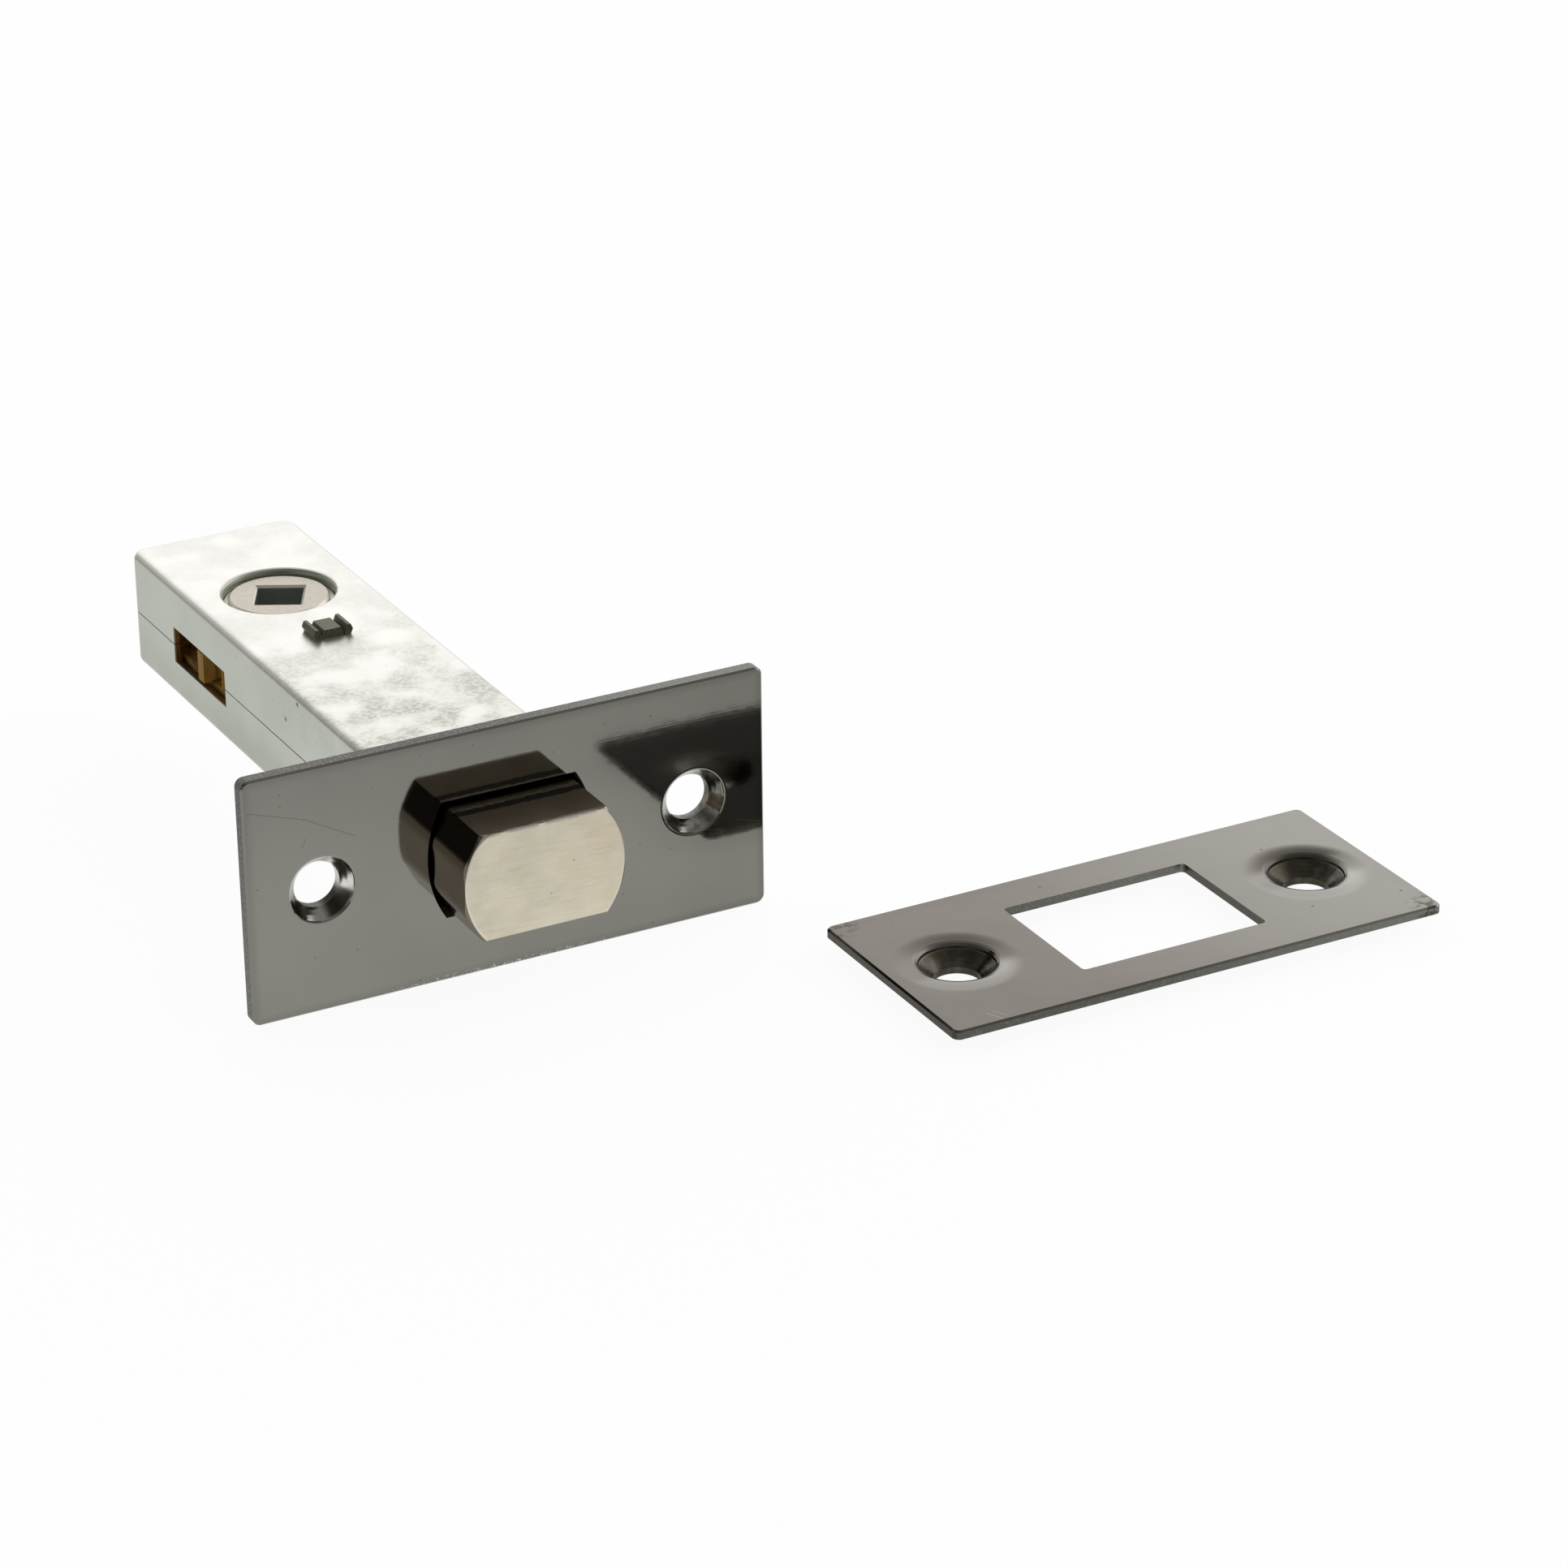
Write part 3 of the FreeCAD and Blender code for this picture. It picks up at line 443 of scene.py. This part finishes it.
def forend_nickel():
    """Near a mirror, a little lighter to the left, with the marks that the photograph shows."""
    surface = Finish("forend black nickel")
    low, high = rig.box("forend_plate")
    holes = screw_holes("forend_screws")
    cone = 3.4 * MM
    sides = surface.upright_to("y")
    cones = surface.within(holes, "xz", cone + EDGE_FADE, cone - EDGE_FADE)
    # Painted highlight: the walls of the bolt's opening are painted light
    lit_opening_walls = surface.times(sides, surface.within([(0.0, 0.0, 0.0)], "xz", 11.0 * MM, 10.0 * MM))

    tone = nickel_tone(surface, BLACK_NICKEL, surface.near_edge("forend_plate", "xz", 1.3 * MM), 0.25)
    tone = chipped_sides(surface, tone, FOREND_SIDE, sides, 0.4)
    tone = surface.tint(tone, NICKEL_WEAR_AND_SHEEN, 0.08, surface.step(surface.x, 5 * MM, low[0]))
    tone = forend_scratches(surface, tone)
    tone = forend_wear(surface, tone, sides, low, high)
    tone = forend_cones(surface, tone, cones, holes[0])
    # Painted highlight on the opening's walls
    tone = surface.mix(lit_opening_walls, tone, FLAKE_AND_WALL_HIGHLIGHT)

    rings = surface.turned_rings(holes, "xz", cone)
    hairlines = surface.noise(0.16 * MM, 2.0, (30.0, 1.0, 1.0), turn=0.08)
    waves = surface.noise(3 * MM, 2.0)
    surface.bump((rings, 0.002 * MM), (hairlines, 0.0009 * MM), (waves, 0.008 * MM))
    roughness = surface.most(surface.times(sides, 0.55), surface.times(cones, 0.16),
                             surface.times(lit_opening_walls, 0.6), 0.065)
    return surface.finish(tone, roughness)


def strike_marks(surface, tone, low, high):
    """Dirt at the back left and front right corners, a few dark spots and two short scratches."""
    spots = surface.spots([(42.4 * MM, -12.9 * MM, 0.0), (52.0 * MM, -15.6 * MM, 0.0),
                           (76.5 * MM, -19.3 * MM, 0.0), (83.6 * MM, -34.4 * MM, 0.0),
                           (73.8 * MM, -33.0 * MM, 0.0)], "xy", 0.22 * MM)
    corner_inset = 0.6 * MM
    corners = surface.spots([(low[0] + corner_inset, high[1] - corner_inset, 0.0),
                             (high[0] - corner_inset, low[1] + corner_inset, 0.0)], "xy", 3.2 * MM)
    grime = surface.times(corners, surface.patches(0.45, 0.58, 0.8 * MM, 4.0))
    tone = surface.tint(tone, DIRT_AND_SHADE, 0.8, surface.most(spots, grime))
    top = high[2]
    scratches = surface.scratches(
        ((33.1 * MM, -37.1 * MM, top), (34.0 * MM, -38.7 * MM, top)),
        ((33.9 * MM, -37.0 * MM, top), (34.7 * MM, -38.3 * MM, top)))
    return surface.tint(tone, NICKEL_WEAR_AND_SHEEN, 0.3, scratches)


def strike_cones(surface, tone, cones, holes):
    """The dimpled screw holes: darkened within by stains and painted shade, with painted shade on their left walls and
    behind the right one, and a painted highlight in front of them."""
    stains = surface.patches(0.25, 0.60, 1.3 * MM, 4.0)
    # Stains and painted shade darken the cones throughout
    tone = surface.tint(tone, DIRT_AND_SHADE, 0.5, cones, surface.math("ADD", stains, 0.9))
    # Painted shade on the cones' left walls
    shaded_left_walls = surface.most(*[surface.band(surface.x, hole[0] - 4 * MM, hole[0] - 2 * MM, 1 * MM)
                                for hole in holes])
    tone = surface.tint(tone, DIRT_AND_SHADE, 0.6, cones, shaded_left_walls)
    middle = holes[0][1]
    # Painted shade behind the right hole
    shaded_round_right = surface.within(holes[1:], "xy", 7.0 * MM, 4.6 * MM)
    behind = surface.step(surface.y, middle + 1 * MM, middle + 3 * MM)
    tone = surface.tint(tone, DIRT_AND_SHADE, 0.8, shaded_round_right, behind)
    # Painted highlight in front of both holes
    round_both = surface.within(holes, "xy", 7.0 * MM, 4.4 * MM)
    lit_in_front = surface.step(surface.y, middle - 1 * MM, middle - 3 * MM)
    return surface.tint(tone, NICKEL_WEAR_AND_SHEEN, 0.35, round_both, lit_in_front)


def strike_nickel():
    """Browner and more satin than the forend, with painted light that makes it lighter to the right and painted shade
    on its end walls.
    """
    surface = Finish("strike black nickel")
    low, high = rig.box("strike_plate")
    holes = screw_holes("strike_screws")
    cone = 3.85 * MM
    sides = surface.upright_to("z")
    cones = surface.within(holes, "xy", cone + EDGE_FADE, cone - EDGE_FADE)

    tone = nickel_tone(surface, STRIKE_NICKEL, surface.near_edge("strike_plate", "xy", 2.2 * MM), 0.08)
    tone = chipped_sides(surface, tone, STRIKE_SIDE, sides, 0.12)
    # Painted light: lighter towards the right
    tone = surface.tint(tone, NICKEL_WEAR_AND_SHEEN, 0.24, surface.step(surface.x, low[0] + 10 * MM, high[0]))
    tone = strike_marks(surface, tone, low, high)
    tone = strike_cones(surface, tone, cones, holes)
    # Painted shade on the end walls
    shaded_end_walls = surface.times(sides, surface.step(surface.facing_along("x"), 0.5, 0.9))
    tone = surface.tint(tone, DIRT_AND_SHADE, 0.7, shaded_end_walls)

    rings = surface.turned_rings(holes, "xy", 3.7 * MM)
    dish = surface.within(holes, "xy", 6.6 * MM, 3.4 * MM)
    hairlines = surface.noise(0.2 * MM, 2.0, (20.0, 1.0, 1.0))
    waves = surface.noise(5 * MM, 2.0)
    surface.bump((rings, 0.002 * MM), (dish, -0.35 * MM), (hairlines, 0.0012 * MM), (waves, 0.03 * MM))
    roughness = surface.most(surface.times(sides, 0.38), surface.times(cones, 0.24), 0.2)
    return surface.finish(tone, roughness)


def bolt_front(surface, clouds, streaks, rubbed, bolt_radius, bolt_top):
    """The bolt's front: satin cream with faint streaks and pits, yellowed to the right and in
    blotches, with a bright rim, a rubbed top edge and a broken corner at its upper left."""
    tone = surface.mix(surface.step(clouds, 0.35, 0.65), shade(BOLT_FACE, 0.90), BOLT_FACE)
    blotches = surface.patches(0.50, 0.66, 2 * MM, 5.0, (2.0, 1.0, 1.0))
    tone = surface.tint(tone, BOLT_YELLOWED, 0.5, blotches)
    tone = surface.tint(tone, BOLT_YELLOWED, 0.35, surface.step(surface.x, 0.0, 7 * MM))
    tone = surface.tint(tone, BOLT_RIM, 0.3, surface.step(streaks, 0.45, 0.7))
    tone = surface.tint(tone, BOLT_WORN, 0.09, surface.step(streaks, 0.42, 0.30))
    tone = surface.tint(tone, BOLT_WORN, 0.6, surface.specks(1.9 * MM, 0.07))

    radius = surface.distance((0.0, 0.0, 0.0), "xz")
    rim = surface.step(radius, bolt_radius - 0.30 * MM, bolt_radius - 0.15 * MM)
    tone = surface.tint(tone, BOLT_RIM, 0.6, rim)
    top_edge = surface.step(surface.z, bolt_top - 0.45 * MM, bolt_top - 0.20 * MM)
    tone = surface.tint(tone, NICKEL_WEAR_AND_SHEEN, 0.85, top_edge, rubbed)
    from_corner = surface.distance((-3.2 * MM, 0.0, 0.6 * MM), "xz")
    broken_corner = surface.times(surface.step(surface.x, -4.6 * MM, -5.1 * MM),
                                  surface.step(surface.z, 1.4 * MM, 2.0 * MM),
                                  surface.step(from_corner, 5.62 * MM, 5.74 * MM))
    return surface.tint(tone, BOLT_WORN, 0.8, broken_corner)


def bolt_sides(surface, clouds, rubbed, flats, back, bolt_top):
    """The bolt's sides: dark, rubbed at the front edge, with a scuffed band on top where the forend brushes it, and
    black round that and behind it, partly greasy dirt and partly painted shade where the bolt goes into the forend."""
    tone = surface.mix(flats, BOLT_SIDE, BOLT_FLAT)
    tone = surface.mix(surface.step(clouds, 0.3, 0.7, 0.2, 0.0), tone, DIRT_AND_SHADE)
    near_front = surface.step(back, 0.7 * MM, 0.2 * MM)
    upper = surface.step(surface.z, bolt_top - 0.75 * MM, bolt_top - 0.15 * MM)
    tone = surface.tint(tone, BOLT_FACE, 0.45, near_front, upper, rubbed)

    on_top = surface.step(surface.z, bolt_top - 0.15 * MM, bolt_top - 0.05 * MM)
    scuff = surface.times(on_top, surface.band(back, 6.3 * MM, 7.2 * MM, 0.25 * MM))
    speckle = surface.patches(0.35, 0.65, 0.25 * MM, 3.0, (4.0, 1.0, 1.0))
    tone = surface.tint(tone, BOLT_SCUFF, 0.45, scuff, speckle)
    ragged_back = surface.math("MULTIPLY_ADD", surface.noise(0.5 * MM, 4.0), 0.8 * MM, back)
    # Black, partly greasy dirt and partly painted shade where the bolt goes into the forend
    grease_and_shade = surface.most(surface.step(back, 7.3 * MM, 7.7 * MM),
                          surface.times(on_top, surface.band(ragged_back, 5.6 * MM, 6.5 * MM, 0.2 * MM)))
    return surface.tint(tone, BLACK_GREASE_AND_SHADE, 0.92, grease_and_shade)


def bolt_metal():
    """The bolt: dark and glossy along its sides and satin cream on its front."""
    surface = Finish("bolt metal")
    low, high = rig.box("bolt_head")
    back = surface.math("SUBTRACT", surface.y, low[1])
    front = surface.step(back, 0.10 * MM, 0.03 * MM)
    flats = surface.step(surface.facing_along("z"), 0.80, 0.95)
    clouds = surface.noise(4 * MM, 4.0)
    streaks = surface.noise(0.25 * MM, 3.0, (10.0, 1.0, 1.0), turn=0.1)
    rubbed = surface.patches(0.40, 0.55, 0.5 * MM, 4.0, (3.0, 1.0, 1.0))

    face_tone = bolt_front(surface, clouds, streaks, rubbed, high[0], high[2])
    side_tone = bolt_sides(surface, clouds, rubbed, flats, back, high[2])
    surface.bump((streaks, 0.006 * MM), (clouds, 0.01 * MM))
    side_roughness = surface.step(flats, 0.0, 1.0, 0.13, 0.34)
    roughness = surface.most(side_roughness, surface.times(front, 0.48))
    return surface.finish(surface.mix(front, side_tone, face_tone), roughness)


def zinc_outside(surface, clouds, stipple, on_side):
    """The plated outside: painted shade towards the forend and along its bends, a painted greener and darker
    reflection on its sides, darker low on its sides, smudged more and more towards the forend, and specked with dirt."""
    near_forend = surface.step(surface.y, 55 * MM, 12 * MM, 0.12, 1.0)
    bends = surface.band(surface.facing_along("z"), 0.40, 0.80, 0.15)
    tone = surface.uneven(clouds, ZINC, 0.95)
    # Painted shade, darker towards the forend
    tone = surface.tint(tone, ZINC_SMUDGE_AND_SHADE, 0.13, near_forend)
    # Painted shade along the bends
    tone = surface.tint(tone, ZINC_SMUDGE_AND_SHADE, 0.48, bends)
    # Painted reflection: the sides greener and darker than the top
    tone = surface.mix(on_side, tone, ZINC_SIDE_PAINTED_REFLECTION)
    tone = surface.tint(tone, ZINC_SMUDGE_AND_SHADE, 0.25, on_side, surface.step(surface.z, 0.0, -6.0 * MM))
    fainter_on_side = surface.step(on_side, 0.0, 1.0, 1.0, 0.2)
    tone = surface.tint(tone, ZINC_SMUDGE_AND_SHADE, 0.75, surface.step(clouds, 0.38, 0.60), near_forend, stipple,
                        fainter_on_side)

    specks = surface.specks(3.1 * MM, 0.05)
    spots = surface.spots([(0.0, 30.3 * MM, 5.6 * MM), (0.0, 33.6 * MM, 2.7 * MM)], "yz", 0.35 * MM)
    left_spots = surface.times(spots, surface.step(surface.x, 0.0, -1 * MM))
    return surface.tint(tone, DIRT_AND_SHADE, 0.7, surface.most(surface.times(specks, 0.4), left_spots))


def collar_inside(surface, top):
    """1 in the drawn collar and on its rounded mouth, from just below the top of the case."""
    outer = COLLAR_OUTER_RADIUS + 0.15 * MM
    return surface.times(surface.within([HUB_AXIS], "xy", outer, COLLAR_OUTER_RADIUS),
                         surface.step(surface.z, top - 0.02 * MM, top - 0.10 * MM))


def case_inside(surface, high):
    """1 on the inner side of the case's walls, leaving out the collars."""
    side_wall, rear_wall, roof = [outside - SHEET_THICKNESS for outside in high]
    from_hub = surface.distance(HUB_AXIS, "xy")
    return surface.times(
        surface.step(surface.math("ABSOLUTE", surface.x), side_wall + 0.01 * MM, side_wall - 0.05 * MM),
        surface.step(surface.math("ABSOLUTE", surface.z), roof + 0.10 * MM, roof + 0.04 * MM),
        surface.step(surface.y, rear_wall + 0.15 * MM, rear_wall + 0.05 * MM),
        surface.step(from_hub, COLLAR_OUTER_RADIUS + 0.4 * MM, COLLAR_OUTER_RADIUS + 0.7 * MM))


def window_edges(surface, case_side):
    """1 on the cut edges of the two side windows, within the sheet's thickness."""
    aside = surface.math("ABSOLUTE", surface.x)
    height = surface.math("ABSOLUTE", surface.z)
    in_wall = surface.times(surface.step(aside, case_side - 0.15 * MM, case_side - 0.20 * MM),
                            surface.step(aside, case_side - 0.70 * MM, case_side - 0.60 * MM))
    hub_y = HUB_AXIS[1]
    return surface.times(in_wall, surface.step(height, 4.2 * MM, 4.0 * MM),
                         surface.band(surface.y, hub_y - 9 * MM, hub_y + 10 * MM, 0.5 * MM))


def zinc():
    """Bright zinc plate on pressed sheet, finely grained. The case is greasy and golden inside and at the edges of its
    windows, with painted shade in its collars, and dark where its sides meet the forend, partly dirt and partly
    painted shade."""
    surface = Finish("zinc plate")
    _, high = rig.box("case_upper_shell")
    grain = surface.noise(0.25 * MM, 4.0)
    clouds = surface.noise(6 * MM, 5.0)
    stipple = surface.step(surface.noise(0.45 * MM, 3.0), 0.36, 0.64, 0.35, 1.0)
    on_side = surface.upright_to("z")
    inside = case_inside(surface, high)
    dirt_and_shade_at_forend = surface.step(surface.y, 2.2 * MM, 1.7 * MM)

    tone = zinc_outside(surface, clouds, stipple, on_side)
    # Painted shade in the collars
    tone = surface.tint(tone, COLLAR_PAINTED_SHADE, 0.9, collar_inside(surface, high[2]))
    tone = surface.mix(inside, tone, surface.mix(stipple, FORK_DARK, FORK_GOLD))
    tone = surface.mix(window_edges(surface, high[0]), tone, FORK_DARK)
    # Dark where the sides meet the forend: partly dirt, partly painted shade
    tone = surface.tint(tone, DIRT_AND_SHADE, 1.0, dirt_and_shade_at_forend, on_side)
    surface.unplated(inside)
    surface.bump((grain, 0.008 * MM), (clouds, 0.03 * MM))
    return surface.finish(tone, surface.step(clouds, 0.3, 0.7, 0.34, 0.44))


def steel(name, colour, roughness):
    """Plain steel with a fine uneven grain."""
    surface = Finish(name)
    grain = surface.noise(0.3 * MM, 4.0)
    surface.bump((grain, 0.02 * MM))
    return surface.finish(surface.uneven(grain, colour, 0.7), roughness)


def greasy_gold(surface, streaks):
    """Golden passivated metal, darker and greasy between the streaks, with little sheen."""
    surface.shader.inputs["Specular IOR Level"].default_value = 0.1
    return surface.mix(streaks, FORK_DARK, FORK_GOLD)


def tail_metal():
    """The tail: golden strip, streaked along its length."""
    surface = Finish("golden strip")
    surface.shader.inputs["Metallic"].default_value = 0.0
    streaks = surface.patches(0.38, 0.62, 0.5 * MM, 4.0, (1.0, 5.0, 1.0))
    surface.bump((streaks, 0.03 * MM))
    return surface.finish(greasy_gold(surface, streaks), 0.45)


def hub_end(surface, grain, height, radius, top):
    """The follower's turned ends: pinkish grey, with a bright broken edge round a square hole whose walls carry
    painted light.
    """
    tone = surface.uneven(grain, HUB_FACE, 0.88)
    broken_edge = surface.step(height, top - 0.02 * MM, top - 0.06 * MM)
    tone = surface.tint(tone, HUB_RIM, 0.7, broken_edge)
    # Painted light: the walls of the square hole are painted a lighter grey-green
    lit_hole_walls = surface.times(surface.step(height, top - 0.22 * MM, top - 0.30 * MM),
                            surface.step(radius, 4.0 * MM, 3.8 * MM))
    return surface.mix(lit_hole_walls, tone, HUB_HOLE_PAINTED_LIGHT)


def hub_metal():
    """The follower: pinkish grey at its turned ends, and greasy gold round the fork between them."""
    surface = Finish("hub metal")
    _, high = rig.box("follower")
    height = surface.math("ABSOLUTE", surface.z)
    radius = surface.distance(HUB_AXIS, "xy")
    grain = surface.noise(0.35 * MM, 4.0)
    end_tone = hub_end(surface, grain, height, radius, high[2])

    streaks = surface.patches(0.38, 0.62, 0.7 * MM, 4.0, (1.0, 1.0, 5.0))
    golden = greasy_gold(surface, streaks)
    tips = surface.step(radius, 9.3 * MM, 9.45 * MM)
    golden = surface.tint(golden, FORK_TIP, 0.8, tips)
    between = surface.times(surface.step(height, 3.9 * MM, 3.4 * MM),
                            surface.step(radius, 3.60 * MM, 3.75 * MM))
    surface.unplated(between)
    surface.bump((grain, 0.015 * MM))
    return surface.finish(surface.mix(between, end_tone, golden), 0.42)


def paint():
    zinc_plate = zinc()
    plain_steel = steel("plain steel", PLAIN_STEEL, 0.4)
    finishes = {
        "forend_plate": forend_nickel(),
        "strike_plate": strike_nickel(),
        "bolt_head": bolt_metal(),
        "case_upper_shell": zinc_plate,
        "case_lower_shell": zinc_plate,
        "case_tie": steel("tie steel", TIE_STEEL, 0.42),
        "follower": hub_metal(),
        "bolt_tail": tail_metal(),
        "tail_rivet_left": plain_steel,
        "tail_rivet_right": plain_steel,
        "drive_pin": plain_steel,
        "detent_spring": plain_steel,
    }
    for name, material in finishes.items():
        slots = frame["nodes"][name].data.materials
        slots.clear()
        slots.append(material)


# The floor: how strongly it glows to the camera, and what share of it the camera and the metal see
# as glow and not as matt white
FLOOR_HALF_LENGTH = 2.0
FLOOR_GLOW = 1.06
GLOW_SEEN_BY_CAMERA = 0.88
GLOW_SEEN_IN_METAL = 0.74


def floor_in_metal(surface):
    """The glow that metal mirrors: weaker to the left behind the forend and far out in front."""
    x, y, _ = surface.parts(surface.node("ShaderNodeTexCoord").outputs["Object"])
    to_left = surface.step(x, -4 * MM, -20 * MM, 0.0, 0.42)
    behind = surface.step(y, 30 * MM, 60 * MM)
    lit = surface.math("SUBTRACT", 1.0, surface.times(to_left, behind))
    return surface.times(lit, surface.step(y, -70 * MM, -10 * MM, 0.70, 1.0))


def floor_material():
    """White to the camera throughout, but for the object's faint shadow."""
    material = bpy.data.materials.new("white floor")
    surface = Nodes(material)
    surface.nodes.clear()
    ray = surface.node("ShaderNodeLightPath").outputs
    seen_by_camera = ray["Is Camera Ray"]
    seen_in_metal = surface.most(ray["Is Glossy Ray"], ray["Is Transmission Ray"])
    share = surface.math("ADD", surface.times(seen_by_camera, GLOW_SEEN_BY_CAMERA),
                         surface.times(seen_in_metal, GLOW_SEEN_IN_METAL))
    strength = surface.choose(seen_by_camera, floor_in_metal(surface), FLOOR_GLOW)

    matt = surface.node("ShaderNodeBsdfDiffuse", Color=FLOOR_WHITE)
    glow = surface.node("ShaderNodeEmission", Strength=strength)
    both = surface.node("ShaderNodeMixShader", Fac=share)
    surface.feed(both.inputs[1], matt.outputs["BSDF"])
    surface.feed(both.inputs[2], glow.outputs["Emission"])
    surface.node("ShaderNodeOutputMaterial", Surface=both.outputs["Shader"])
    return material


def make_floor():
    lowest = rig.bounds()[0][2]
    bpy.ops.mesh.primitive_plane_add(size=2 * FLOOR_HALF_LENGTH, location=(0.0, 0.0, lowest))
    floor = bpy.context.object
    floor.name = "floor"
    floor.data.materials.append(floor_material())
    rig.stage(floor)


# The camera that the photograph was taken with, solved from the edges and holes it shows
CAMERA_PLACE = (-0.201582, -0.433954, 0.228546)
CAMERA_TURN_DEGREES = (65.0550, 0.5481, -28.4298)
CAMERA_LENS_MM = 122.1987
SENSOR_MM = 36.0

# The one lamp, in metres and watts
LAMP_PLACE = (0.70, 0.15, 0.38)
LAMP_DIAMETER = 0.70
LAMP_WATTS = 0.5


def room_light(room):
    """How brightly each direction lights the object: most at about 23 degrees up, less along the
    horizon and overhead, on the left and on the camera's side, and least from the camera itself."""
    direction = room.node("ShaderNodeTexCoord").outputs["Generated"]
    x, y, z = room.parts(direction)
    towards_camera = Vector(CAMERA_PLACE).normalized()
    off_camera = room.vector_math("DISTANCE", direction, towards_camera)["Value"]
    return room.times(
        room.step(z, 0.38, 0.85, 1.42, 0.45),
        room.step(z, 0.10, 0.40, 0.60, 1.0),
        room.step(x, -0.7, 0.2, 0.35, 1.0),
        room.step(y, -0.8, -0.2, 0.22, 1.0),
        room.step(off_camera, 0.2, 0.5, 0.04, 1.0))


def make_world():
    """A room that lights the object unevenly and that the camera sees as white."""
    world = bpy.data.worlds.new("studio")
    bpy.context.scene.world = world
    room = Nodes(world)
    room.nodes.clear()
    seen_by_camera = room.node("ShaderNodeLightPath").outputs["Is Camera Ray"]
    strength = room.choose(seen_by_camera, room_light(room), 1.0)
    background = room.node("ShaderNodeBackground", Color=WHITE, Strength=strength)
    room.node("ShaderNodeOutputWorld", Surface=background.outputs["Background"])


def make_lamp():
    """One large soft light to the right, low enough for no flat face to mirror it to the camera."""
    lamp = bpy.data.lights.new("softbox", "AREA")
    lamp.shape = "DISK"
    lamp.size = LAMP_DIAMETER
    lamp.energy = LAMP_WATTS
    holder = bpy.data.objects.new("softbox", lamp)
    holder.location = LAMP_PLACE
    towards_object = -holder.location
    holder.rotation_euler = towards_object.to_track_quat("-Z", "Y").to_euler()
    bpy.context.scene.collection.objects.link(holder)
    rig.stage(holder)


def make_camera():
    data = bpy.data.cameras.new("camera")
    data.sensor_width = SENSOR_MM
    data.lens = CAMERA_LENS_MM
    camera = bpy.data.objects.new("camera", data)
    camera.location = CAMERA_PLACE
    camera.rotation_euler = tuple(math.radians(angle) for angle in CAMERA_TURN_DEGREES)
    bpy.context.scene.collection.objects.link(camera)
    bpy.context.scene.camera = camera


paint()
make_floor()
make_world()
make_lamp()
make_camera()
bpy.context.scene.view_settings.view_transform = "Standard"

with suppress(OSError):
    with open("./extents.json", "w") as size_file:
        json.dump({"after_load": [list(corner) for corner in size_after_load],
                   "before_finish": [list(corner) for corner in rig.bounds()]}, size_file)
